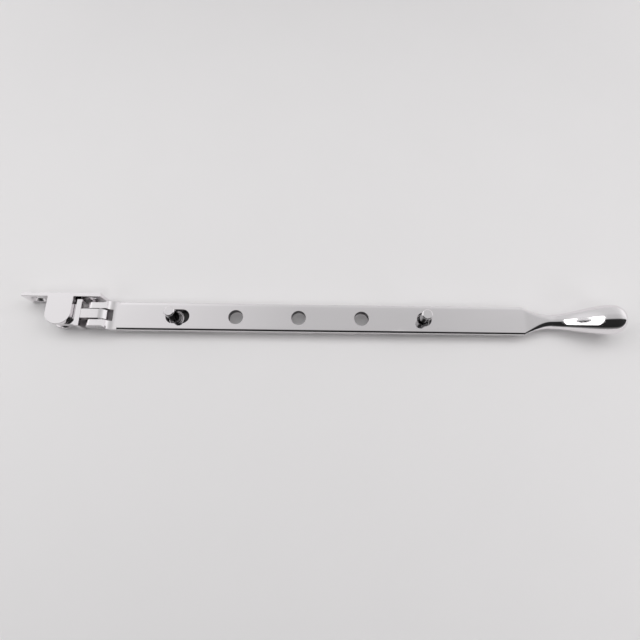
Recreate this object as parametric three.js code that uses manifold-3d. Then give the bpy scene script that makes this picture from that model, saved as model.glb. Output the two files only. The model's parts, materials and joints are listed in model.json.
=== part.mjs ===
// Casement window stay: a bracket that is screwed to the casement, a swivel block that turns in it, and a
// flat stay bar with a bulb end, which drops over two pegs on the window frame.
//
// Millimetres. The origin is the centre of the bracket's back face, which lies flat on the casement.
// +X runs along the bar to the bulb, +Y points into the casement, and +Z is up.

import * as THREE from 'three';
import { mergeVertices } from 'three/addons/utils/BufferGeometryUtils.js';
import Module from 'manifold-3d';

// ---------- driving dimensions ----------

const TABLE_Z = -4.7;              // lowest face of the bracket and of both peg plates

// bracket
const PLATE_LENGTH = 37.8;
const PLATE_HEIGHT = 9.4;
const PLATE_THICKNESS = 1.8;
const SCREW_SPACING = 26;
const SCREW_HOLE_RADIUS = 2.05;
const COUNTERSINK_RADIUS = 3.3;
const COUNTERSINK_DEPTH = 1.2;
const LUG_HALF_WIDTH = 6.1;
const LUG_NOSE = 5.65;             // how far the oval nose reaches past the swivel axis
const LUG_SLOT_HEIGHT = 5.0;       // room between the two lugs
const SWIVEL_Y = -9.8;             // upright axis that the swivel block turns on

// swivel pin and swivel block
const SWIVEL_PIN_RADIUS = 2;
const SWIVEL_PIN_TOP = 3.6;        // the pin's blind end, inside the upper lug
const BARREL_RADIUS = 5;
const BARREL_HEIGHT = 4.5;
const SHOULDER_X = 8;
const SHOULDER_THICKNESS = 2.35;
const SHOULDER_WIDTH = 12.7;
const SHOULDER_Y = -9.4;             // the shoulder stands a little towards the plate
const SHOULDER_HEIGHT = 8.4;
const TONGUE_WIDTH = 4.4;
const TONGUE_RADIUS = 4;
const HINGE_X = 18.1;              // level axis that the bar lifts on

// stay bar
const PRONG_END_X = 15.3;          // middle of the prongs' round ends
const PRONG_RADIUS = 3.3;
const PRONG_BACK_X = 21.8;         // where the prongs' flat tops end
const FORK_WIDTH = 11.4;
const FORK_SLOT_WIDTH = 5.6;
const FORK_SLOT_END = 24.4;
const FORK_PIN_RADIUS = 1.5;
const SWELL_START_X = 19.8;        // from here the fork swells to the bar's full width
const SWELL_END_X = 22.4;
const FLAT_X = 25.8;
const BAR_WIDTH = 13.8;
const BAR_TOP = 0.8;
const BAR_THICKNESS = 3.6;
const EDGE_ACROSS = 1.1;           // the bar's edges are quarter ovals, wider than they are deep
const EDGE_DOWN = 0.6;
const FIRST_HOLE_X = 52.9;
const HOLE_PITCH = 30;
const HOLE_COUNT = 5;
const HOLE_RADIUS = 3.5;
const SLOT_EXTRA = 4.4;            // the hole nearest the bracket is this much longer than it is wide

// bulb handle
const TAPER_X = 220.2;
const NECK_X = 233;
const NECK_RADIUS = 3.45;
const NECK_Z = -0.9;
const RISE_START_X = 233;          // between these two the handle's axis rises
const RISE_END_X = 263;
const BELLY_X = 259;
const BELLY_RADIUS = 7;
const BELLY_Z = 4.4;
const TIP_X = 266;
const TIP_ROUNDNESS = 2.3;         // 2 would be an ellipse; more is blunter

// pegs and their plates
const PEG_PLACES = [53.4, 172.7];  // the first and the last hole stand over the pegs
const PEG_RADIUS = 2.5;
const PEG_TOP = 8.9;
const PEG_CHAMFER = 0.4;
const PEG_TAIL_RADIUS = 1.6;
const COLLAR_RADIUS = 4;
const COLLAR_THICKNESS = 0.3;
const PEG_PLATE_LENGTH = 36;
const PEG_PLATE_WIDTH = 12;
const PEG_PLATE_THICKNESS = 1;
const PEG_SCREW_SPACING = 26;
const PEG_COUNTERSINK_DEPTH = 0.7;

const RUNNING_GAP = 0.15;          // around each pin
const SEAT_GAP = 0.3;              // between faces of separate pieces that rest on each other
const ROUND_SEGMENTS = 40;

const barMiddleZ = BAR_TOP - BAR_THICKNESS / 2;
const plateFrontY = -PLATE_THICKNESS;

// ---------- solids ----------

const wasm = await Module();
wasm.setup();

function toSolid(geometry) {
  const bare = geometry.clone();
  bare.deleteAttribute('normal');
  bare.deleteAttribute('uv');
  const merged = mergeVertices(bare, 1e-5);
  return new wasm.Manifold(new wasm.Mesh({
    numProp: 3,
    vertProperties: new Float32Array(merged.attributes.position.array),
    triVerts: new Uint32Array(merged.index.array),
  }));
}

function toGeometry(solid) {
  const mesh = solid.getMesh();
  const geometry = new THREE.BufferGeometry();
  geometry.setAttribute('position', new THREE.BufferAttribute(mesh.vertProperties, 3));
  geometry.setIndex(new THREE.BufferAttribute(mesh.triVerts, 1));
  geometry.computeVertexNormals();
  return geometry;
}

function join(...geometries) {
  return geometries.map(toSolid).reduce((sum, solid) => sum.add(solid));
}

function cutAway(solid, ...geometries) {
  return geometries.map(toSolid).reduce((rest, tool) => rest.subtract(tool), solid);
}

// A box given by its lowest and highest corners.
function boxBetween(low, high) {
  const size = new THREE.Vector3(...high).sub(new THREE.Vector3(...low));
  const box = new THREE.BoxGeometry(size.x, size.y, size.z);
  return box.translate(low[0] + size.x / 2, low[1] + size.y / 2, low[2] + size.z / 2);
}

// An upright cylinder, or a cone frustum when the two radii differ.
function uprightRound(x, y, lowZ, highZ, lowRadius, highRadius = lowRadius) {
  const round = new THREE.CylinderGeometry(highRadius, lowRadius, highZ - lowZ, ROUND_SEGMENTS);
  return round.rotateX(Math.PI / 2).translate(x, y, (lowZ + highZ) / 2);
}

// The same along Y, for pins and screw holes that run into the casement.
function levelRound(x, z, lowY, highY, lowRadius, highRadius = lowRadius) {
  const round = new THREE.CylinderGeometry(highRadius, lowRadius, highY - lowY, ROUND_SEGMENTS);
  return round.translate(x, (lowY + highY) / 2, z);
}

function extrudeUp(shape, lowZ, highZ) {
  const settings = { depth: highZ - lowZ, bevelEnabled: false, curveSegments: ROUND_SEGMENTS / 2 };
  return new THREE.ExtrudeGeometry(shape, settings).translate(0, 0, lowZ);
}

// A shape drawn in X and Z, made as wide as asked about a middle plane of constant Y.
function extrudeAcross(shape, middleY, width) {
  const settings = { depth: width, bevelEnabled: false, curveSegments: ROUND_SEGMENTS / 2 };
  const across = new THREE.ExtrudeGeometry(shape, settings).rotateX(Math.PI / 2);
  return across.translate(0, middleY + width / 2, 0);
}

// ---------- bracket ----------

function bracketOutline() {
  const half = PLATE_LENGTH / 2;
  const outline = new THREE.Shape();
  outline.moveTo(-half, 0);
  outline.lineTo(-half, plateFrontY);
  outline.lineTo(-LUG_HALF_WIDTH, plateFrontY);
  outline.lineTo(-LUG_HALF_WIDTH, SWIVEL_Y);
  outline.absellipse(0, SWIVEL_Y, LUG_HALF_WIDTH, LUG_NOSE, Math.PI, 2 * Math.PI, false, 0);
  outline.lineTo(LUG_HALF_WIDTH, plateFrontY);
  outline.lineTo(half, plateFrontY);
  outline.lineTo(half, 0);
  return outline;
}

function screwHoleAcross(x) {
  const through = levelRound(x, 0, plateFrontY - 1, 1, SCREW_HOLE_RADIUS);
  const coneRun = COUNTERSINK_RADIUS - SCREW_HOLE_RADIUS;
  const overrun = 0.5;
  const widest = COUNTERSINK_RADIUS + overrun * coneRun / COUNTERSINK_DEPTH;
  const cone = levelRound(
    x, 0, plateFrontY - overrun, plateFrontY + COUNTERSINK_DEPTH, widest, SCREW_HOLE_RADIUS,
  );
  return [through, cone];
}

function makeBracket() {
  const halfHeight = PLATE_HEIGHT / 2;
  const halfSlot = LUG_SLOT_HEIGHT / 2;
  const reach = LUG_HALF_WIDTH + 1;
  const body = toSolid(extrudeUp(bracketOutline(), -halfHeight, halfHeight));
  const lugSlot = boxBetween([-reach, SWIVEL_Y - reach, -halfSlot], [reach, plateFrontY, halfSlot]);
  const pinBore = uprightRound(
    0, SWIVEL_Y, -halfHeight - 1, SWIVEL_PIN_TOP + RUNNING_GAP, SWIVEL_PIN_RADIUS + RUNNING_GAP,
  );
  const screwHoles = [-1, 1].flatMap((side) => screwHoleAcross(side * SCREW_SPACING / 2));
  return cutAway(body, lugSlot, pinBore, ...screwHoles);
}

// ---------- swivel pin and swivel block ----------

function makeSwivelPin() {
  return toSolid(uprightRound(0, SWIVEL_Y, -PLATE_HEIGHT / 2, SWIVEL_PIN_TOP, SWIVEL_PIN_RADIUS));
}

function tongueOutline() {
  const outline = new THREE.Shape();
  outline.moveTo(SHOULDER_X + 1, -TONGUE_RADIUS);
  outline.lineTo(HINGE_X, -TONGUE_RADIUS);
  outline.absarc(HINGE_X, 0, TONGUE_RADIUS, -Math.PI / 2, Math.PI / 2, false);
  outline.lineTo(SHOULDER_X + 1, TONGUE_RADIUS);
  return outline;
}

function makeSwivelBlock() {
  const halfBarrel = BARREL_HEIGHT / 2;
  const shoulderEnd = SHOULDER_X + SHOULDER_THICKNESS;
  const barrel = uprightRound(0, SWIVEL_Y, -halfBarrel, halfBarrel, BARREL_RADIUS);
  const web = boxBetween(
    [0, SWIVEL_Y - BARREL_RADIUS, -halfBarrel],
    [SHOULDER_X + 1, SWIVEL_Y + BARREL_RADIUS, halfBarrel],
  );
  const shoulder = boxBetween(
    [SHOULDER_X, SHOULDER_Y - SHOULDER_WIDTH / 2, -SHOULDER_HEIGHT / 2],
    [shoulderEnd, SHOULDER_Y + SHOULDER_WIDTH / 2, SHOULDER_HEIGHT / 2],
  );
  const tongue = extrudeAcross(tongueOutline(), SWIVEL_Y, TONGUE_WIDTH);
  const swivelBore = uprightRound(0, SWIVEL_Y, -4, 4, SWIVEL_PIN_RADIUS + RUNNING_GAP);
  const hingeBore = levelRound(
    HINGE_X, 0, SWIVEL_Y - TONGUE_WIDTH, SWIVEL_Y + TONGUE_WIDTH, FORK_PIN_RADIUS + RUNNING_GAP,
  );
  return cutAway(join(barrel, web, shoulder, tongue), swivelBore, hingeBore);
}

function makeForkPin() {
  const half = FORK_WIDTH / 2;
  return toSolid(levelRound(HINGE_X, 0, SWIVEL_Y - half, SWIVEL_Y + half, FORK_PIN_RADIUS));
}

// ---------- stay bar ----------

// The fork seen from its side: prongs with round ends and flat tops, and a hollow that runs down to the flat.
function forkSide() {
  const foot = FLAT_X + 1;
  const bottom = BAR_TOP - BAR_THICKNESS;
  const outline = new THREE.Shape();
  outline.moveTo(foot, bottom);
  outline.lineTo(foot, BAR_TOP);
  outline.lineTo(FLAT_X, BAR_TOP);
  outline.quadraticCurveTo(PRONG_BACK_X + 0.6, BAR_TOP, PRONG_BACK_X, PRONG_RADIUS);
  outline.absarc(PRONG_END_X, 0, PRONG_RADIUS, Math.PI / 2, 1.5 * Math.PI, false);
  outline.quadraticCurveTo(PRONG_BACK_X, -PRONG_RADIUS, FLAT_X, bottom);
  return outline;
}

// The fork seen from above: narrow prongs that swell to the bar's full width.
function forkPlan() {
  const narrow = FORK_WIDTH / 2;
  const wide = BAR_WIDTH / 2;
  const start = PRONG_END_X - PRONG_RADIUS - 1;
  const end = FLAT_X + 2;
  const bend = (SWELL_START_X + SWELL_END_X) / 2;
  const outline = new THREE.Shape();
  outline.moveTo(start, SWIVEL_Y - narrow);
  outline.lineTo(SWELL_START_X, SWIVEL_Y - narrow);
  outline.quadraticCurveTo(bend, SWIVEL_Y - narrow, SWELL_END_X, SWIVEL_Y - wide);
  outline.lineTo(end, SWIVEL_Y - wide);
  outline.lineTo(end, SWIVEL_Y + wide);
  outline.lineTo(SWELL_END_X, SWIVEL_Y + wide);
  outline.quadraticCurveTo(bend, SWIVEL_Y + narrow, SWELL_START_X, SWIVEL_Y + narrow);
  outline.lineTo(start, SWIVEL_Y + narrow);
  return outline;
}

const ease = (t) => t * t * (3 - 2 * t);

// Half width, half height, the two reaches of the rounded corner, and middle height of the bar's section.
function sectionAt(x) {
  if (x <= TAPER_X) {
    return {
      width: BAR_WIDTH / 2, height: BAR_THICKNESS / 2, across: EDGE_ACROSS, down: EDGE_DOWN, z: barMiddleZ,
    };
  }
  const narrowing = Math.min((x - TAPER_X) / (NECK_X - TAPER_X), 1);
  const rising = Math.min(Math.max((x - RISE_START_X) / (RISE_END_X - RISE_START_X), 0), 1);
  const z = barMiddleZ + (NECK_Z - barMiddleZ) * ease(narrowing) + (BELLY_Z - NECK_Z) * ease(rising);
  if (x < NECK_X) {
    const width = NECK_RADIUS + (BAR_WIDTH / 2 - NECK_RADIUS) * (1 - narrowing) ** 2;
    const height = NECK_RADIUS + (BAR_THICKNESS / 2 - NECK_RADIUS) * (1 - ease(narrowing));
    const across = EDGE_ACROSS + (width - EDGE_ACROSS) * ease(narrowing);
    const down = EDGE_DOWN + (height - EDGE_DOWN) * ease(narrowing);
    return { width, height, across, down, z };
  }
  const swell = ease(Math.min((x - NECK_X) / (BELLY_X - NECK_X), 1));
  const past = Math.max(x - BELLY_X, 0) / (TIP_X - BELLY_X);
  const closing = (1 - past ** TIP_ROUNDNESS) ** (1 / TIP_ROUNDNESS);
  const radius = (NECK_RADIUS + (BELLY_RADIUS - NECK_RADIUS) * swell) * closing;
  return { width: radius, height: radius, across: radius, down: radius, z };
}

// A bar whose section changes along its length. A cylinder's rings are moved onto rounded rectangles.
function loftAlongX(stations, cornerSteps) {
  const around = 4 * (cornerSteps + 1);
  const rings = stations.length - 1;
  const loft = new THREE.CylinderGeometry(1, 1, rings, around, rings, false);
  const position = loft.attributes.position;
  for (let i = 0; i < position.count; i += 1) {
    const station = stations[Math.round(rings / 2 + position.getY(i))];
    const section = sectionAt(station);
    const turn = Math.atan2(position.getX(i), position.getZ(i)) / (2 * Math.PI);
    const isCapCentre = Math.hypot(position.getX(i), position.getZ(i)) < 0.5;
    const step = (Math.round(turn * around) + around) % around;
    const quarter = Math.floor(step / (cornerSteps + 1));
    const angle = (quarter + (step % (cornerSteps + 1)) / cornerSteps) * Math.PI / 2;
    const sideY = quarter === 0 || quarter === 3 ? 1 : -1;
    const sideZ = quarter < 2 ? 1 : -1;
    const y = sideY * (section.width - section.across) + section.across * Math.cos(angle);
    const z = sideZ * (section.height - section.down) + section.down * Math.sin(angle);
    position.setXYZ(i, station, SWIVEL_Y + (isCapCentre ? 0 : y), section.z + (isCapCentre ? 0 : z));
  }
  return loft;
}

// Places along the bar where its section is drawn: the straight flat, the taper, the neck and the bulb.
function barStations() {
  const spread = (from, to, count) => Array.from({ length: count }, (_, i) => from + (to - from) * i / count);
  const tipSteps = 9;
  const tip = Array.from({ length: tipSteps }, (_, i) => {
    const angle = (i + 1) / tipSteps * Math.PI / 2;
    return BELLY_X + (TIP_X - BELLY_X) * Math.sin(angle) - (i === tipSteps - 1 ? 0.02 : 0);
  });
  return [
    FLAT_X, ...spread(TAPER_X, NECK_X, 9), ...spread(NECK_X, BELLY_X, 10), BELLY_X, ...tip,
  ];
}

function holeCutter(index) {
  const x = FIRST_HOLE_X + index * HOLE_PITCH;
  const low = BAR_TOP - BAR_THICKNESS - 1;
  const high = BAR_TOP + 1;
  if (index > 0) {
    return uprightRound(x, SWIVEL_Y, low, high, HOLE_RADIUS);
  }
  const slot = new THREE.Shape();
  slot.absarc(x, SWIVEL_Y, HOLE_RADIUS, Math.PI / 2, 1.5 * Math.PI, false);
  slot.absarc(x + SLOT_EXTRA, SWIVEL_Y, HOLE_RADIUS, -Math.PI / 2, Math.PI / 2, false);
  return extrudeUp(slot, low, high);
}

function makeStayBar() {
  const side = toSolid(extrudeAcross(forkSide(), SWIVEL_Y, BAR_WIDTH + 2));
  const plan = toSolid(extrudeUp(forkPlan(), -PRONG_RADIUS - 1, PRONG_RADIUS + 1));
  const shank = toSolid(loftAlongX(barStations(), 6));
  const slotHalf = FORK_SLOT_WIDTH / 2;
  const forkSlot = boxBetween(
    [PRONG_END_X - PRONG_RADIUS - 1, SWIVEL_Y - slotHalf, -PRONG_RADIUS - 1],
    [FORK_SLOT_END, SWIVEL_Y + slotHalf, PRONG_RADIUS + 1],
  );
  const pinBore = levelRound(
    HINGE_X, 0, SWIVEL_Y - FORK_WIDTH, SWIVEL_Y + FORK_WIDTH, FORK_PIN_RADIUS + RUNNING_GAP,
  );
  const holes = Array.from({ length: HOLE_COUNT }, (_, index) => holeCutter(index));
  return cutAway(side.intersect(plan).add(shank), forkSlot, pinBore, ...holes);
}

// ---------- pegs and their plates ----------

function pegPlateOutline(middleX) {
  const corner = 1.5;
  const left = middleX - PEG_PLATE_LENGTH / 2;
  const right = middleX + PEG_PLATE_LENGTH / 2;
  const near = SWIVEL_Y - PEG_PLATE_WIDTH / 2;
  const far = SWIVEL_Y + PEG_PLATE_WIDTH / 2;
  const outline = new THREE.Shape();
  outline.absarc(right - corner, near + corner, corner, -Math.PI / 2, 0, false);
  outline.absarc(right - corner, far - corner, corner, 0, Math.PI / 2, false);
  outline.absarc(left + corner, far - corner, corner, Math.PI / 2, Math.PI, false);
  outline.absarc(left + corner, near + corner, corner, Math.PI, 1.5 * Math.PI, false);
  return outline;
}

function makePegPlate(middleX) {
  const top = TABLE_Z + PEG_PLATE_THICKNESS;
  const plate = toSolid(extrudeUp(pegPlateOutline(middleX), TABLE_Z, top));
  const tailBore = uprightRound(
    middleX, SWIVEL_Y, TABLE_Z - 1, top + 1, PEG_TAIL_RADIUS + RUNNING_GAP,
  );
  const screwHoles = [-1, 1].flatMap((side) => {
    const x = middleX + side * PEG_SCREW_SPACING / 2;
    const overrun = 0.5;
    const slope = (COUNTERSINK_RADIUS - SCREW_HOLE_RADIUS) / PEG_COUNTERSINK_DEPTH;
    return [
      uprightRound(x, SWIVEL_Y, TABLE_Z - 1, top + 1, SCREW_HOLE_RADIUS),
      uprightRound(
        x, SWIVEL_Y, top - PEG_COUNTERSINK_DEPTH, top + overrun,
        SCREW_HOLE_RADIUS, COUNTERSINK_RADIUS + overrun * slope,
      ),
    ];
  });
  return cutAway(plate, tailBore, ...screwHoles);
}

// A turned peg: a thin tail through the plate, a collar, a straight shank and a chamfer round the flat top.
function makePeg(middleX) {
  const shoulder = TABLE_Z + PEG_PLATE_THICKNESS + SEAT_GAP;
  const tailEnd = TABLE_Z + SEAT_GAP;
  const profile = [
    [0, tailEnd],
    [PEG_TAIL_RADIUS, tailEnd],
    [PEG_TAIL_RADIUS, shoulder],
    [COLLAR_RADIUS, shoulder],
    [COLLAR_RADIUS, shoulder + COLLAR_THICKNESS],
    [PEG_RADIUS, shoulder + COLLAR_THICKNESS],
    [PEG_RADIUS, PEG_TOP - PEG_CHAMFER],
    [PEG_RADIUS - PEG_CHAMFER, PEG_TOP],
    [0, PEG_TOP],
  ].map(([radius, height]) => new THREE.Vector2(radius, height));
  const turned = new THREE.LatheGeometry(profile, ROUND_SEGMENTS).rotateX(Math.PI / 2);
  return toSolid(turned.translate(middleX, SWIVEL_Y, 0));
}

// ---------- assembly ----------

const polished = { roughness: 0.08, metalness: 1 };
const chrome = () => new THREE.MeshStandardMaterial({ color: 0xdedbdd, ...polished });
const plateSteel = () => new THREE.MeshStandardMaterial({ color: 0x605f60, roughness: 0.4, metalness: 1 });
const pinSteel = () => new THREE.MeshStandardMaterial({ color: 0xc9c7c9, roughness: 0.2, metalness: 1 });

function named(name, solid, material) {
  const mesh = new THREE.Mesh(toGeometry(solid), material);
  mesh.name = name;
  return mesh;
}

const stay = new THREE.Group();
stay.add(named('bracket', makeBracket(), chrome()));
stay.add(named('swivel_pin', makeSwivelPin(), pinSteel()));
stay.add(named('swivel_block', makeSwivelBlock(), chrome()));
stay.add(named('stay_bar', makeStayBar(), chrome()));
stay.add(named('fork_pin', makeForkPin(), pinSteel()));

const pegNames = ['inner', 'outer'];
PEG_PLACES.forEach((middleX, order) => {
  stay.add(named(`${pegNames[order]}_peg_plate`, makePegPlate(middleX), plateSteel()));
  stay.add(named(`${pegNames[order]}_peg`, makePeg(middleX), chrome()));
});

export default stay;
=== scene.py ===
import json
import math

import bmesh
import bpy
from mathutils import Matrix, Vector


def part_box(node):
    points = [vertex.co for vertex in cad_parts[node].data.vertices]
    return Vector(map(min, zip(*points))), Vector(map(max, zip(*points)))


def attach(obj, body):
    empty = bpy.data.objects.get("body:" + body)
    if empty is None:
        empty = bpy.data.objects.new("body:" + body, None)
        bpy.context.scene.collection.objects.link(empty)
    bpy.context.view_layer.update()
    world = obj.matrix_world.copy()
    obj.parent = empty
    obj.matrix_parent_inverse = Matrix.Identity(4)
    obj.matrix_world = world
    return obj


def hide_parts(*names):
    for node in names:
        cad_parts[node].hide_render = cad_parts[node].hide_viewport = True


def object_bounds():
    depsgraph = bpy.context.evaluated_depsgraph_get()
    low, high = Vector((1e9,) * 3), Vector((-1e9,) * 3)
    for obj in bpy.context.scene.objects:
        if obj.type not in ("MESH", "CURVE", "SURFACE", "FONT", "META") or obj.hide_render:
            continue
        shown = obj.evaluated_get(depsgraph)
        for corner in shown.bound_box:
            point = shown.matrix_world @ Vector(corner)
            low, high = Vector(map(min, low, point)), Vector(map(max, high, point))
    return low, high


# The looks of a chrome casement stay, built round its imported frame. Everything is in metres, in the part's
# frame: +X along the bar to the bulb, +Y into the casement, +Z up.

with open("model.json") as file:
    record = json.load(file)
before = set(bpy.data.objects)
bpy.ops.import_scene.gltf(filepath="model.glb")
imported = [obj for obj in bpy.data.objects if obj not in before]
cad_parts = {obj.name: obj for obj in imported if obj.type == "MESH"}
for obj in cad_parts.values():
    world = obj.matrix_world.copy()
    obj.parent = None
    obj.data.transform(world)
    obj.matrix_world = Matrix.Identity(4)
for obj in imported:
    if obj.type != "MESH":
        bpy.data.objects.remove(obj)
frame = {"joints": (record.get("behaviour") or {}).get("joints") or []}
cad_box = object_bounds()
MM = 0.001

# ---------- joints and boxes, read from the frame ----------

joints = {joint["name"]: Vector(joint["pos_m"]) for joint in frame["joints"] if "pos_m" in joint}
swivel = joints["swivel_swing"]
hinge = joints["bar_lift"]

bracket_low, bracket_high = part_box("bracket")
block_low, block_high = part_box("swivel_block")
bar_low, bar_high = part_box("stay_bar")
fork_pin_low, fork_pin_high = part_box("fork_pin")
swivel_pin_low, swivel_pin_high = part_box("swivel_pin")
plate_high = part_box("inner_peg_plate")[1]


def middle_of(low_high):
    low, high = low_high
    return (Vector(low) + Vector(high)) / 2


# the bar, the holes and the pegs are all centred on the swivel
centre_y = swivel.y
TABLE_Z = bracket_low.z
TIP_X = bar_high.x

# ---------- the bar's sizes, which the boxes don't give ----------

BAR_HALF_WIDTH = 6.9 * MM
BAR_TOP = 0.8 * MM
BAR_BOTTOM = -2.8 * MM
HOLE_RADIUS = 3.5 * MM
FIRST_HOLE_X = 52.9 * MM
HOLE_PITCH = 30 * MM
HOLE_COUNT = 5
SLOT_EXTRA = 4.4 * MM
FLAT_X = 25.8 * MM
TAPER_X = 220.2 * MM
NECK_X = 233 * MM
NECK_RADIUS = 3.45 * MM
NECK_Z = -0.9 * MM
RISE_START_X = 233 * MM
RISE_END_X = 263 * MM
BELLY_X = 259 * MM
BELLY_RADIUS = 7 * MM
BELLY_Z = 4.4 * MM
TIP_ROUNDNESS = 2.3

# ---------- mesh tools ----------

ON_AXIS = 1e-9
WELD_REACH = 0.002 * MM


def add_object(name, mesh):
    piece = bpy.data.objects.new(name, mesh)
    bpy.context.scene.collection.objects.link(piece)
    return piece


def mesh_from(name, points, faces):
    mesh = bpy.data.meshes.new(name)
    mesh.from_pydata([tuple(point) for point in points], [], faces)
    solid = bmesh.new()
    solid.from_mesh(mesh)
    bmesh.ops.recalc_face_normals(solid, faces=solid.faces)
    solid.to_mesh(mesh)
    solid.free()
    return mesh


def arc(centre, radius, start, end, steps):
    """Points on an arc about centre, from one angle to the other in degrees, both ends included."""
    turn = [math.radians(start + (end - start) * step / steps) for step in range(steps + 1)]
    return [(centre[0] + radius * math.cos(a), centre[1] + radius * math.sin(a)) for a in turn]


def prism(name, outline, low, high, place):
    """A closed outline pushed from low to high. place(u, v, w) says where the outline's point u, v is at
    height w."""
    count = len(outline)
    points = [place(u, v, low) for u, v in outline] + [place(u, v, high) for u, v in outline]
    sides = [(i, (i + 1) % count, count + (i + 1) % count, count + i) for i in range(count)]
    caps = [tuple(range(count)), tuple(range(count, 2 * count))]
    return add_object(name, mesh_from(name, points, sides + caps))


def upward(u, v, w):
    return (u, v, w)


def across(u, v, w):
    return (u, w, v)


def turned(name, profile, place, steps=64):
    """A solid of revolution. profile lists (radius, height) from axis to axis; place maps x, y, height."""
    points = []
    rings = []
    for radius, height in profile:
        if radius < ON_AXIS:
            rings.append([len(points)])
            points.append(place(0, 0, height))
            continue
        rings.append(list(range(len(points), len(points) + steps)))
        for step in range(steps):
            angle = 2 * math.pi * step / steps
            points.append(place(radius * math.cos(angle), radius * math.sin(angle), height))
    faces = []
    for lower, upper in zip(rings, rings[1:]):
        for step in range(steps):
            ahead = (step + 1) % steps
            corners = [lower[step % len(lower)], lower[ahead % len(lower)]]
            corners += [upper[ahead % len(upper)], upper[step % len(upper)]]
            faces.append(tuple(dict.fromkeys(corners)))
    return add_object(name, mesh_from(name, points, faces))


def round_cutter(x, y, low, high, radius, top_radius=None):
    """An upright cylinder or cone to cut with."""
    profile = [(0, low), (radius, low), (top_radius or radius, high), (0, high)]
    return turned("cutter", profile, lambda u, v, w: (x + u, y + v, w))


def level_cutter(x, z, low, high, radius, far_radius=None):
    """The same along Y."""
    profile = [(0, low), (radius, low), (far_radius or radius, high), (0, high)]
    return turned("cutter", profile, lambda u, v, w: (x + u, w, z + v))


def block_cutter(low, high):
    outline = [(low[0], low[1]), (high[0], low[1]), (high[0], high[1]), (low[0], high[1])]
    return prism("cutter", outline, low[2], high[2], upward)


def settle(piece):
    """Turns a piece's modifiers into its own mesh."""
    view = bpy.context.evaluated_depsgraph_get()
    mesh = bpy.data.meshes.new_from_object(piece.evaluated_get(view))
    old = piece.data
    piece.modifiers.clear()
    piece.data = mesh
    bpy.data.meshes.remove(old)
    mesh.name = piece.name


def combine(piece, tools, operation):
    for tool in tools:
        step = piece.modifiers.new("combine", "BOOLEAN")
        step.operation = operation
        step.solver = "EXACT"
        step.object = tool
    settle(piece)
    for tool in tools:
        mesh = tool.data
        bpy.data.objects.remove(tool)
        bpy.data.meshes.remove(mesh)


def soften(piece, width, segments=3, angle=32):
    """Rounds every edge sharper than the angle, and keeps the flats flat in the light."""
    weld = piece.modifiers.new("weld", "WELD")
    weld.merge_threshold = WELD_REACH
    bevel = piece.modifiers.new("edges", "BEVEL")
    bevel.width = width
    bevel.segments = segments
    bevel.limit_method = "ANGLE"
    bevel.angle_limit = math.radians(angle)
    bevel.harden_normals = True
    bevel.use_clamp_overlap = True
    bevel.miter_outer = "MITER_ARC"
    piece.data.shade_smooth()
    settle(piece)


# ---------- metals ----------


def node(tree, kind, **settings):
    made = tree.nodes.new(kind)
    for name, value in settings.items():
        setattr(made, name, value)
    return made


def fill(made, values):
    """Sets the sockets of a node that nothing is linked to."""
    for name, value in values.items():
        made.inputs[name].default_value = value


def noise(tree, vector, scale, detail=2.0, roughness=0.5):
    made = node(tree, "ShaderNodeTexNoise")
    fill(made, {"Scale": scale, "Detail": detail, "Roughness": roughness})
    tree.links.new(vector, made.inputs["Vector"])
    return made.outputs["Fac"]


def bump(tree, height, strength, distance):
    made = node(tree, "ShaderNodeBump")
    fill(made, {"Strength": strength, "Distance": distance})
    tree.links.new(height, made.inputs["Height"])
    return made


def two_tints(tree, darker, lighter, share):
    """A colour between two, by a value from 0 to 1."""
    tint = node(tree, "ShaderNodeMix", data_type="RGBA")
    fill(tint, {"A": (*darker, 1), "B": (*lighter, 1)})
    tree.links.new(share, tint.inputs["Factor"])
    return tint.outputs["Result"]


METAL_IOR = 2.5
CLOUD_SCALE = 55.0
CLOUD_SHADE = 0.975
WAVE_SCALE = 120.0
WAVE_STRENGTH = 0.25
GRAIN_STRENGTH = 0.12
GRAIN_DEPTH = 0.002 * MM


def chrome(name, colour, roughness, grain_scale, grain_stretch, wave=0.004, haze=0.05):
    """Polished chrome plate: a slight haze that varies, fine buffing marks, and the soft waviness of a
    casting under its plating. wave is the height of the waviness in millimetres."""
    material = bpy.data.materials.new(name)
    material.use_nodes = True
    tree = material.node_tree
    shader = tree.nodes["Principled BSDF"]
    fill(shader, {"Metallic": 1.0, "IOR": METAL_IOR})
    place = node(tree, "ShaderNodeTexCoord").outputs["Object"]

    clouds = noise(tree, place, CLOUD_SCALE, 4.0)
    tint = two_tints(tree, [part * CLOUD_SHADE for part in colour], colour, clouds)
    tree.links.new(tint, shader.inputs["Base Color"])

    stretch = node(tree, "ShaderNodeMapping")
    fill(stretch, {"Scale": grain_stretch})
    tree.links.new(place, stretch.inputs["Vector"])
    grain = noise(tree, stretch.outputs["Vector"], grain_scale, 6.0, 0.6)

    polish = node(tree, "ShaderNodeMapRange")
    fill(polish, {"From Min": 0.3, "From Max": 0.7, "To Min": roughness, "To Max": roughness + haze})
    tree.links.new(grain, polish.inputs["Value"])
    tree.links.new(polish.outputs["Result"], shader.inputs["Roughness"])

    waves = bump(tree, noise(tree, place, WAVE_SCALE, 1.0), WAVE_STRENGTH, wave * MM)
    marks = bump(tree, grain, GRAIN_STRENGTH, GRAIN_DEPTH)
    tree.links.new(waves.outputs["Normal"], marks.inputs["Normal"])
    tree.links.new(marks.outputs["Normal"], shader.inputs["Normal"])
    return material


CHROME_TINT = (0.872, 0.845, 0.862)
bar_chrome = chrome("bar_chrome", CHROME_TINT, 0.05, 900.0, (0.05, 1.0, 1.0))
bracket_chrome = chrome("bracket_chrome", CHROME_TINT, 0.05, 700.0, (1.0, 1.0, 1.0), wave=0.008)
swivel_chrome = chrome("swivel_chrome", CHROME_TINT, 0.05, 700.0, (1.0, 1.0, 1.0), wave=0.008)
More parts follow.
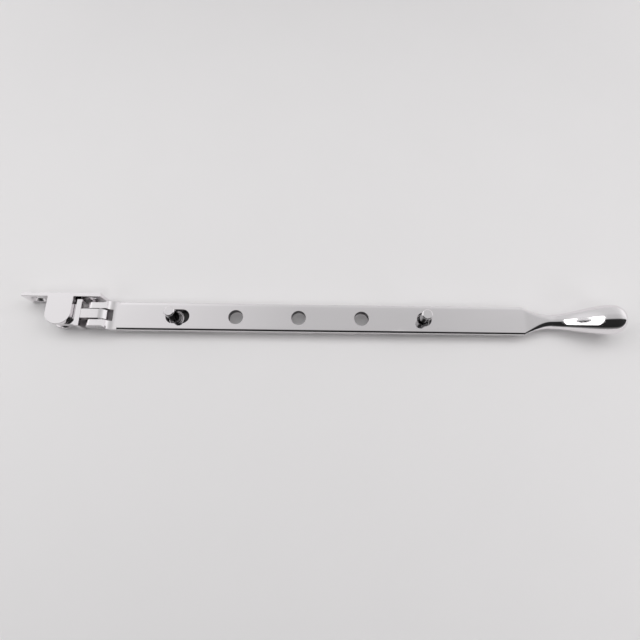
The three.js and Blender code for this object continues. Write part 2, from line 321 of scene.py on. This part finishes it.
# the pegs' sides and the holes' walls are tinted darker than the rest as painted shade, standing in for the
# dark reflections they show; the hidden plates are a guess
peg_side_painted_shade = chrome("peg_side_painted_shade", (0.34, 0.335, 0.34), 0.06, 800.0, (1.0, 1.0, 0.1))
peg_chrome = chrome("peg_chrome", CHROME_TINT, 0.05, 800.0, (1.0, 1.0, 0.1))
plate_steel = chrome("plate_steel", (0.06, 0.06, 0.06), 0.3, 700.0, (1.0, 1.0, 1.0), haze=0.1)
bore_wall_painted_shade = chrome("bore_wall_painted_shade", (0.14, 0.135, 0.14), 0.3, 700.0, (1.0, 1.0, 1.0), haze=0.1)
pin_steel = chrome("pin_steel", (0.75, 0.74, 0.75), 0.14, 900.0, (1.0, 1.0, 1.0), haze=0.1)


def finish_piece(piece, material, body, slot, *nodes):
    piece.data.materials.clear()
    piece.data.materials.append(material)
    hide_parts(*nodes)
    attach(piece, body)


# ---------- bracket ----------

LUG_HALF_WIDTH = 6.1 * MM
LUG_GAP = 2.5 * MM
PLATE_FRONT = -1.8 * MM
SCREW_X = 13 * MM
SCREW_RADIUS = 2.05 * MM
COUNTERSINK_RADIUS = 3.3 * MM
COUNTERSINK_DEPTH = 1.2 * MM
# a countersink's cone starts half its depth outside the face, where this is its radius
CONE_RADIUS = COUNTERSINK_RADIUS + (COUNTERSINK_RADIUS - SCREW_RADIUS) / 2
PIN_CLEARANCE = 0.05 * MM
PIN_BORE_PAST_END = 0.15 * MM
PIN_EDGE = 0.2 * MM


def make_bracket():
    half = bracket_high.x
    nose = (swivel.y - bracket_low.y) / LUG_HALF_WIDTH
    outline = [(half, 0), (-half, 0), (-half, PLATE_FRONT), (-LUG_HALF_WIDTH, PLATE_FRONT)]
    outline += [(x, swivel.y + y * nose) for x, y in arc((0, 0), LUG_HALF_WIDTH, 180, 360, 48)]
    outline += [(LUG_HALF_WIDTH, PLATE_FRONT), (half, PLATE_FRONT)]
    casting = prism("bracket_casting", outline, bracket_low.z, bracket_high.z, upward)
    reach = LUG_HALF_WIDTH + MM
    cutters = [block_cutter((-reach, swivel.y - reach, -LUG_GAP), (reach, PLATE_FRONT, LUG_GAP))]
    bore = swivel_pin_high.x + PIN_CLEARANCE
    bore_end = swivel_pin_high.z + PIN_BORE_PAST_END
    cutters.append(round_cutter(0, swivel.y, bracket_low.z - MM, bore_end, bore))
    for side in (-1, 1):
        x = side * SCREW_X
        cone_start = PLATE_FRONT - COUNTERSINK_DEPTH / 2
        cone_end = PLATE_FRONT + COUNTERSINK_DEPTH
        cutters.append(level_cutter(x, 0, PLATE_FRONT - MM, MM, SCREW_RADIUS))
        cutters.append(level_cutter(x, 0, cone_start, cone_end, CONE_RADIUS, SCREW_RADIUS))
    combine(casting, cutters, "DIFFERENCE")
    soften(casting, 0.35 * MM)
    finish_piece(casting, bracket_chrome, "bracket", "bracket_chrome", "bracket")


def make_pin(name, radius, low, high, place, body, cad_node):
    """A steel rivet with broken edges, from low to high along its own axis."""
    profile = [(0, low), (radius - PIN_EDGE, low), (radius, low + PIN_EDGE), (radius, high - PIN_EDGE)]
    profile += [(radius - PIN_EDGE, high), (0, high)]
    pin = turned(name, profile, place)
    soften(pin, 0.08 * MM)
    finish_piece(pin, pin_steel, body, "pin_steel", cad_node)


def make_swivel_pin():
    low, high = swivel_pin_low.z, swivel_pin_high.z

    def upright(u, v, w):
        return (swivel.x + u, swivel.y + v, w)

    make_pin("swivel_rivet", swivel_pin_high.x, low, high, upright, "bracket", "swivel_pin")


# ---------- swivel block ----------

BARREL_RADIUS = 5 * MM
BARREL_HALF = 2.25 * MM
SHOULDER_X = 8 * MM
SHOULDER_END = 10.35 * MM
TONGUE_HALF = 2.2 * MM
BORE_REACH = 4 * MM
# the web's faces stay this far inside the barrel's, so that no two faces lie in one plane
WEB_INSET = 0.01 * MM
WEB_START_X = 0.05 * MM


def make_swivel_block():
    block = turned(
        "swivel_casting",
        [(0, -BARREL_HALF), (BARREL_RADIUS, -BARREL_HALF), (BARREL_RADIUS, BARREL_HALF), (0, BARREL_HALF)],
        lambda u, v, w: (u, swivel.y + v, w),
        96,
    )
    web = block_cutter(
        (WEB_START_X, swivel.y - BARREL_RADIUS + WEB_INSET, -BARREL_HALF + WEB_INSET),
        (SHOULDER_X + MM, swivel.y + BARREL_RADIUS - WEB_INSET, BARREL_HALF - WEB_INSET),
    )
    shoulder = block_cutter(
        (SHOULDER_X, block_low.y, block_low.z), (SHOULDER_END, block_high.y, block_high.z)
    )
    radius = block_high.x - hinge.x
    outline = [(SHOULDER_X + MM, -radius)] + arc((hinge.x, 0), radius, -90, 90, 40)
    outline += [(SHOULDER_X + MM, radius)]
    tongue = prism("cutter", outline, swivel.y - TONGUE_HALF, swivel.y + TONGUE_HALF, across)
    combine(block, [web, shoulder, tongue], "UNION")
    upright_bore = swivel_pin_high.x + PIN_CLEARANCE
    level_bore = fork_pin_high.z + PIN_CLEARANCE
    bores = [
        round_cutter(0, swivel.y, -BORE_REACH, BORE_REACH, upright_bore),
        level_cutter(hinge.x, 0, swivel.y - BORE_REACH, swivel.y + BORE_REACH, level_bore),
    ]
    combine(block, bores, "DIFFERENCE")
    soften(block, 0.3 * MM)
    finish_piece(block, swivel_chrome, "swivel", "swivel_chrome", "swivel_block")


def make_fork_pin():
    low, high = fork_pin_low.y, fork_pin_high.y

    def level(u, v, w):
        return (hinge.x + u, w, hinge.z + v)

    make_pin("fork_rivet", fork_pin_high.z, low, high, level, "bar", "fork_pin")


# ---------- stay bar ----------

PRONG_RADIUS = 3.3 * MM
PRONG_END_X = bar_low.x + PRONG_RADIUS
PRONG_BACK_X = 21.8 * MM
PRONG_HALF = 5.7 * MM
HOLLOW_SPREAD = 0.6 * MM
SLOT_HALF = 2.8 * MM
SLOT_END = 24.4 * MM
SWELL_START_X = 19.8 * MM
SWELL_END_X = 22.4 * MM
# the shapes that cut the fork start before it and reach this far each side of the hinge
FORK_START_X = 10 * MM
FORK_REACH_Y = 9 * MM
FORK_REACH_Z = 8 * MM
# the rounding of the bar's long edges, softer than in the CAD to match the photo's blurred edge
EDGE_ACROSS = 1.5 * MM
EDGE_DOWN = 0.8 * MM
CORNER_STEPS = 12
TAPER_STEPS = 30
HANDLE_STEPS = 40
TIP_STEPS = 28


def ease(t):
    t = min(max(t, 0), 1)
    return t * t * (3 - 2 * t)


def bar_section(x):
    """Half width, half height, the two reaches of the rounded corner, and middle height of the bar at x."""
    flat_z = (BAR_TOP + BAR_BOTTOM) / 2
    flat_height = (BAR_TOP - BAR_BOTTOM) / 2
    narrowing = min(max((x - TAPER_X) / (NECK_X - TAPER_X), 0), 1)
    rising = ease((x - RISE_START_X) / (RISE_END_X - RISE_START_X))
    z = flat_z + (NECK_Z - flat_z) * ease(narrowing) + (BELLY_Z - NECK_Z) * rising
    if x < NECK_X:
        width = NECK_RADIUS + (BAR_HALF_WIDTH - NECK_RADIUS) * (1 - narrowing) ** 2
        height = NECK_RADIUS + (flat_height - NECK_RADIUS) * (1 - ease(narrowing))
        edge_across = EDGE_ACROSS + (width - EDGE_ACROSS) * ease(narrowing)
        edge_down = EDGE_DOWN + (height - EDGE_DOWN) * ease(narrowing)
        return width, height, edge_across, edge_down, z
    past = max(x - BELLY_X, 0) / (TIP_X - BELLY_X)
    closing = max(1 - past ** TIP_ROUNDNESS, 0) ** (1 / TIP_ROUNDNESS)
    radius = NECK_RADIUS + (BELLY_RADIUS - NECK_RADIUS) * ease((x - NECK_X) / (BELLY_X - NECK_X))
    return (radius * closing,) * 4 + (z,)


def ring(x):
    """The bar's outline at x."""
    width, height, edge_across, edge_down, middle = bar_section(x)
    points = []
    for quarter in range(4):
        side_y = 1 if quarter in (0, 3) else -1
        side_z = 1 if quarter < 2 else -1
        for step in range(CORNER_STEPS + 1):
            angle = (quarter + step / CORNER_STEPS) * math.pi / 2
            y = side_y * (width - edge_across) + edge_across * math.cos(angle)
            z = side_z * (height - edge_down) + edge_down * math.sin(angle)
            points.append((x, centre_y + y, middle + z))
    return points


def make_shank():
    """The flat, the taper, the neck and the bulb as one skin of rings."""
    taper = NECK_X - TAPER_X
    handle = BELLY_X - NECK_X
    tip = TIP_X - BELLY_X
    stations = [FLAT_X, TAPER_X]
    stations += [TAPER_X + taper * step / TAPER_STEPS for step in range(1, TAPER_STEPS + 1)]
    stations += [NECK_X + handle * step / HANDLE_STEPS for step in range(1, HANDLE_STEPS + 1)]
    for step in range(1, TIP_STEPS):
        stations.append(BELLY_X + tip * math.sin(math.radians(90 * step / TIP_STEPS)))
    points = [point for x in stations for point in ring(x)]
    around = 4 * (CORNER_STEPS + 1)
    faces = [tuple(range(around))]
    for low in range(0, (len(stations) - 1) * around, around):
        for step in range(around):
            ahead = (step + 1) % around
            faces.append((low + step, low + ahead, low + around + ahead, low + around + step))
    points.append((TIP_X, centre_y, bar_section(TIP_X)[-1]))
    last = (len(stations) - 1) * around
    faces += [(last + step, last + (step + 1) % around, len(points) - 1) for step in range(around)]
    return add_object("stay_forging", mesh_from("stay_forging", points, faces))


def curve_between(start, control, end, steps):
    """Points of a quadratic curve, without its first point."""
    made = []
    for step in range(1, steps + 1):
        t = step / steps
        u = 1 - t
        made.append(tuple(a * u ** 2 + 2 * b * t * u + c * t ** 2 for a, b, c in zip(start, control, end)))
    return made


def make_fork():
    """Two prongs with round ends and flat tops, and a hollow behind them that runs down to the flat."""
    foot = FLAT_X + MM
    outline = [(foot, BAR_BOTTOM), (foot, BAR_TOP), (FLAT_X, BAR_TOP)]
    prong_back = (PRONG_BACK_X, PRONG_RADIUS)
    hollow = (PRONG_BACK_X + HOLLOW_SPREAD, BAR_TOP)
    outline += curve_between((FLAT_X, BAR_TOP), hollow, prong_back, 16)
    outline += arc((PRONG_END_X, 0), PRONG_RADIUS, 90, 270, 48)
    prong_foot = (PRONG_END_X, -PRONG_RADIUS)
    outline += curve_between(prong_foot, (PRONG_BACK_X, -PRONG_RADIUS), (FLAT_X, BAR_BOTTOM), 12)
    reach = 1.2 * BAR_HALF_WIDTH
    fork = prism("fork", outline, centre_y - reach, centre_y + reach, across)
    combine(fork, [plan_of_fork()], "INTERSECT")
    return fork


def plan_of_fork():
    """The fork's outline from above: narrow prongs that swell to the bar's full width."""
    bend = (SWELL_START_X + SWELL_END_X) / 2
    swell_end = (SWELL_END_X, BAR_HALF_WIDTH)
    half = [(FORK_START_X, PRONG_HALF), (SWELL_START_X, PRONG_HALF)]
    half += curve_between((SWELL_START_X, PRONG_HALF), (bend, PRONG_HALF), swell_end, 10)
    half.append((FLAT_X + 4 * MM, BAR_HALF_WIDTH))
    outline = half + [(x, -y) for x, y in reversed(half)]
    placed = [(x, centre_y + y) for x, y in outline]
    return prism("cutter", placed, -FORK_REACH_Z, FORK_REACH_Z, upward)


def slot_cutter(x, length):
    outline = arc((x, centre_y), HOLE_RADIUS, 90, 270, 32)
    outline += arc((x + length, centre_y), HOLE_RADIUS, -90, 90, 32)
    return prism("cutter", outline, BAR_BOTTOM - MM, BAR_TOP + MM, upward)


# a face whose normal is more upright than this is part of a flat; rims reach this far past the holes
FLAT_LIMIT = 0.9
RIM = 0.3 * MM


def is_bore_wall(face):
    """True on the walls of the slot and the holes, out to their rims."""
    if abs(face.normal.z) > FLAT_LIMIT:
        return False
    for index in range(HOLE_COUNT):
        first = FIRST_HOLE_X + index * HOLE_PITCH
        last = first + (SLOT_EXTRA if index == 0 else 0)
        nearest = min(max(face.center.x, first), last)
        if math.hypot(face.center.x - nearest, face.center.y - centre_y) < HOLE_RADIUS + RIM:
            return True
    return False


def make_stay_bar():
    bar = make_shank()
    combine(bar, [make_fork()], "UNION")
    gap_low = (bar_low.x - MM, centre_y - SLOT_HALF, -FORK_REACH_Z)
    gap_high = (SLOT_END, centre_y + SLOT_HALF, FORK_REACH_Z)
    eye = fork_pin_high.z + PIN_CLEARANCE
    cutters = [
        block_cutter(gap_low, gap_high),
        level_cutter(hinge.x, hinge.z, centre_y - FORK_REACH_Y, centre_y + FORK_REACH_Y, eye),
        slot_cutter(FIRST_HOLE_X, SLOT_EXTRA),
    ]
    for index in range(1, HOLE_COUNT):
        x = FIRST_HOLE_X + index * HOLE_PITCH
        cutters.append(round_cutter(x, centre_y, BAR_BOTTOM - MM, BAR_TOP + MM, HOLE_RADIUS))
    combine(bar, cutters, "DIFFERENCE")
    soften(bar, 0.25 * MM)
    finish_piece(bar, bar_chrome, "bar", "bar_chrome", "stay_bar")
    # the walls of the slot and the holes, out to their rims, get the dark tint: painted shade for the
    # shadowed table they mirror
    bar.data.materials.append(bore_wall_painted_shade)
    for face in bar.data.polygons:
        face.material_index = 1 if is_bore_wall(face) else 0


# ---------- pegs and plates ----------

PEG_RADIUS = 2.5 * MM
PEG_TAIL_RADIUS = 1.6 * MM
PEG_EDGE = 0.4 * MM
BEAD_RADIUS = 0.65 * MM
BEAD_OUT = 3.3 * MM
BEAD_GAP = 0.05 * MM
PLATE_CORNER = 1.5 * MM
PLATE_BORE_RADIUS = 1.65 * MM
PLATE_SINK = 0.7 * MM
# a peg's faces whose normals rise less than this are its sides
SIDE_LIMIT = 0.3


def make_peg(name, body):
    low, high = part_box(name)
    x = (low.x + high.x) / 2
    shoulder = plate_high.z + BEAD_GAP
    bead = arc((BEAD_OUT, shoulder), BEAD_RADIUS, 0, 150, 14)
    profile = [(0, low.z), (PEG_TAIL_RADIUS, low.z), (PEG_TAIL_RADIUS, shoulder)] + bead
    profile += [(PEG_RADIUS, bead[-1][1]), (PEG_RADIUS, high.z - PEG_EDGE)]
    profile += [(PEG_RADIUS - PEG_EDGE, high.z), (0, high.z)]
    peg = turned(name + "_turning", profile, lambda u, v, w: (x + u, centre_y + v, w), 96)
    soften(peg, 0.12 * MM, 3, 20)
    finish_piece(peg, peg_chrome, body, "peg_chrome", name)
    # the peg's sides get the dark tint: painted shade for the dark reflections on them
    peg.data.materials.append(peg_side_painted_shade)
    for face in peg.data.polygons:
        face.material_index = 0 if face.normal.z > SIDE_LIMIT else 1


def make_peg_plate(name, body):
    low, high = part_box(name)
    middle = (low.x + high.x) / 2
    left, right = low.x + PLATE_CORNER, high.x - PLATE_CORNER
    front, back = low.y + PLATE_CORNER, high.y - PLATE_CORNER
    outline = []
    for turn, corner in enumerate(((right, front), (right, back), (left, back), (left, front))):
        outline += arc(corner, PLATE_CORNER, 90 * turn - 90, 90 * turn, 10)
    plate = prism(name.replace("plate", "stamping"), outline, low.z, high.z, upward)
    through = (low.z - MM, high.z + MM)
    cone = (high.z - PLATE_SINK, high.z + PLATE_SINK / 2)
    cutters = [round_cutter(middle, centre_y, *through, PLATE_BORE_RADIUS)]
    for side in (-1, 1):
        x = middle + side * SCREW_X
        cutters.append(round_cutter(x, centre_y, *through, SCREW_RADIUS))
        cutters.append(round_cutter(x, centre_y, *cone, SCREW_RADIUS, CONE_RADIUS))
    combine(plate, cutters, "DIFFERENCE")
    soften(plate, 0.2 * MM)
    finish_piece(plate, plate_steel, body, "plate_steel", name)


# ---------- studio ----------

TABLE_REACH = 4.0
PAPER_DARKER = (0.80, 0.785, 0.79)
PAPER_LIGHTER = (0.815, 0.80, 0.805)
BACKDROP = (0.78, 0.765, 0.77)
# the table's glow starts this far from the stay, is full that far out, and is this strong there
GLOW_START = 0.2
GLOW_FULL = 0.62
GLOW = 0.58
# the share of the room's light that matt surfaces don't take
ROOM_HELD_BACK = 0.55


def make_floor():
    corners = [(-TABLE_REACH, -TABLE_REACH), (TABLE_REACH, -TABLE_REACH)]
    corners += [(TABLE_REACH, TABLE_REACH), (-TABLE_REACH, TABLE_REACH)]
    points = [(*corner, TABLE_Z) for corner in corners]
    table = add_object("table", mesh_from("table", points, [(0, 1, 2, 3)]))
    paper = bpy.data.materials.new("table_paper")
    paper.use_nodes = True
    tree = paper.node_tree
    shader = tree.nodes["Principled BSDF"]
    fill(shader, {"Roughness": 0.85, "Specular IOR Level": 0.2, "Emission Color": (*PAPER_DARKER, 1)})
    place = node(tree, "ShaderNodeTexCoord").outputs["Object"]
    tint = two_tints(tree, PAPER_DARKER, PAPER_LIGHTER, noise(tree, place, 30.0))
    tree.links.new(tint, shader.inputs["Base Color"])
    # the softboxes fade with distance, so the table makes up for it and stays pale to the horizon
    away = node(tree, "ShaderNodeVectorMath", operation="DISTANCE")
    away.inputs[1].default_value = (*middle_of(cad_box).xy, TABLE_Z)
    tree.links.new(place, away.inputs[0])
    glow = node(tree, "ShaderNodeMapRange", interpolation_type="SMOOTHSTEP")
    fill(glow, {"From Min": GLOW_START, "From Max": GLOW_FULL, "To Min": 0.0, "To Max": GLOW})
    tree.links.new(away.outputs["Value"], glow.inputs["Value"])
    tree.links.new(glow.outputs["Result"], shader.inputs["Emission Strength"])
    table.data.materials.append(paper)


def area_light(name, aim, direction, distance, size, power, glossy=False):
    """A soft box at a distance from aim, facing it. Chrome shows it only if glossy is true."""
    data = bpy.data.lights.new(name, "AREA")
    data.shape = "RECTANGLE"
    data.size, data.size_y = size
    data.energy = power
    lamp = bpy.data.objects.new(name, data)
    bpy.context.scene.collection.objects.link(lamp)
    towards = Vector(direction).normalized()
    lamp.location = aim + towards * distance
    tall_axis = towards.cross(Vector((1, 0, 0))).normalized()
    wide_axis = tall_axis.cross(towards)
    lamp.rotation_euler = Matrix((wide_axis, tall_axis, towards)).transposed().to_euler()
    lamp.visible_glossy = glossy
    return lamp


def ramp(tree, value, stops):
    made = node(tree, "ShaderNodeValToRGB")
    elements = made.color_ramp.elements
    while len(elements) < len(stops):
        elements.new(0.5)
    for element, (place, level) in zip(elements, stops):
        element.position = place
        element.color = (level, level, level, 1)
    tree.links.new(value, made.inputs["Fac"])
    return made.outputs["Color"]


def maths(tree, operation, *values):
    made = node(tree, "ShaderNodeMath", operation=operation)
    for socket, value in zip(made.inputs, values):
        if isinstance(value, (int, float)):
            socket.default_value = value
        else:
            tree.links.new(value, socket)
    return made.outputs[0]


def make_room():
    """A room for the chrome to mirror: pale behind the stay and overhead, dark on the photographer's side."""
    world = bpy.data.worlds.new("room")
    bpy.context.scene.world = world
    world.use_nodes = True
    tree = world.node_tree
    tree.nodes.clear()
    place = node(tree, "ShaderNodeTexCoord")
    split = node(tree, "ShaderNodeSeparateXYZ")
    tree.links.new(place.outputs["Generated"], split.inputs["Vector"])
    x, y, z = (split.outputs[axis] for axis in "XYZ")

    # 0 at the horizon behind the stay, 0.5 overhead and 1 at the horizon on the photographer's side
    swing = maths(tree, "DIVIDE", maths(tree, "ARCTAN2", z, y), math.pi)
    over = ramp(
        tree, swing,
        [(0.0, 0.74), (0.33, 0.71), (0.40, 0.62), (0.53, 0.57), (0.575, 0.025), (0.9, 0.02), (1.0, 0.4)],
    )
    # brightest far to the left, dimmest in the middle, and bright again to the right
    along = maths(tree, "ADD", maths(tree, "MULTIPLY", x, 0.5), 0.5)
    sides = ramp(
        tree, along,
        [(0.0, 1.62), (0.25, 1.41), (0.48, 0.93), (0.62, 0.92), (0.76, 1.06), (0.9, 1.4)],
    )
    sky = node(tree, "ShaderNodeMix", data_type="RGBA", blend_type="MULTIPLY")
    sky.inputs["Factor"].default_value = 1
    tree.links.new(over, sky.inputs["A"])
    tree.links.new(sides, sky.inputs["B"])

    # matt surfaces take less from the room, so the softboxes draw the shadows
    background = node(tree, "ShaderNodeBackground")
    tree.links.new(sky.outputs["Result"], background.inputs["Color"])
    path = node(tree, "ShaderNodeLightPath")
    held_back = maths(tree, "MULTIPLY", path.outputs["Is Diffuse Ray"], ROOM_HELD_BACK)
    tree.links.new(maths(tree, "SUBTRACT", 1, held_back), background.inputs["Strength"])
    plain = node(tree, "ShaderNodeBackground")
    plain.inputs["Color"].default_value = (*BACKDROP, 1)
    choose = node(tree, "ShaderNodeMixShader")
    tree.links.new(path.outputs["Is Camera Ray"], choose.inputs["Fac"])
    tree.links.new(background.outputs["Background"], choose.inputs[1])
    tree.links.new(plain.outputs["Background"], choose.inputs[2])
    output = node(tree, "ShaderNodeOutputWorld")
    tree.links.new(choose.outputs["Shader"], output.inputs["Surface"])


def make_lights():
    aim = middle_of(cad_box)
    for name, direction, distance, side, power in (
        ("left_softbox", (-0.28, 0.12, 0.33), 0.45, 0.3, 0.58),
        ("right_softbox", (0.28, 0.12, 0.33), 0.45, 0.3, 0.58),
        ("back_softbox", (0, 0.5, 0.86), 0.6, 0.3, 0.48),
        ("front_softbox", (0, -0.5, 0.86), 0.6, 0.2, 0.46),
    ):
        area_light(name, aim, direction, distance, (side, side), power)
    # two low fills take the shadows off the table in front of the bulb and the bracket
    near_bulb = middle_of(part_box("stay_bar")) + Vector((0.13, 0, 0))
    area_light("bulb_fill", near_bulb, (0.45, -0.6, 0.5), 0.33, (0.15, 0.15), 0.2)
    area_light("bracket_fill", swivel, (-0.6, -0.4, 0.55), 0.33, (0.15, 0.15), 0.16)
    # three panes of a window and a faint strip beside them, near the bulb and seen only in reflections:
    # how far each leans along X, how far it is swung round X in degrees, its width, height and power
    bulb = Vector((BELLY_X - 7 * MM, centre_y, BELLY_Z))
    for lean, swing, wide, tall, power in (
        (-0.215, 86, 38 * MM, 82 * MM, 0.0022),
        (-0.215, 111, 38 * MM, 82 * MM, 0.0022),
        (-0.215, 134, 38 * MM, 70 * MM, 0.0018),
        (-0.46, 150, 12 * MM, 30 * MM, 0.0001),
    ):
        upright = math.sqrt(1 - lean ** 2)
        turn = math.radians(swing)
        towards = (lean, upright * math.cos(turn), upright * math.sin(turn))
        pane = area_light("window_pane", bulb, towards, 0.19, (wide, tall), power, glossy=True)
        pane.data.spread = math.radians(50)
        pane.visible_camera = False
        pane.visible_diffuse = False


# ---------- camera ----------

CAMERA_TILT = 17.3
CAMERA_ROLL = 0.74
CAMERA_DISTANCE = 0.2143
LENS = 25.3
AIM_LEFT = 0.4 * MM
AIM_FORWARD = 0.95 * MM


def make_camera():
    """Nearly overhead, tilted and rolled as in the photo, aimed close to the middle of the bar's top."""
    tilt = math.radians(CAMERA_TILT)
    roll = math.radians(CAMERA_ROLL)
    aim = Vector((middle_of(cad_box).x - AIM_LEFT, centre_y - AIM_FORWARD, BAR_TOP))
    data = bpy.data.cameras.new("camera")
    data.sensor_width = 36
    data.lens = LENS
    data.clip_start = 0.01
    camera = bpy.data.objects.new("camera", data)
    bpy.context.scene.collection.objects.link(camera)
    backward = Vector((0, -math.sin(tilt), math.cos(tilt)))
    upward_in_view = Vector((0, math.cos(tilt), math.sin(tilt)))
    axes = Matrix((Vector((1, 0, 0)), upward_in_view, backward)).transposed().to_4x4()
    place = Matrix.Translation(aim + backward * CAMERA_DISTANCE)
    camera.matrix_world = place @ axes @ Matrix.Rotation(roll, 4, "Z")
    bpy.context.scene.camera = camera


make_bracket()
make_swivel_pin()
make_swivel_block()
make_fork_pin()
make_stay_bar()
for order in ("inner", "outer"):
    make_peg(f"{order}_peg", f"{order}_peg")
    make_peg_plate(f"{order}_peg_plate", f"{order}_peg")
make_floor()
make_room()
make_lights()
make_camera()
bpy.context.scene.view_settings.view_transform = "Standard"
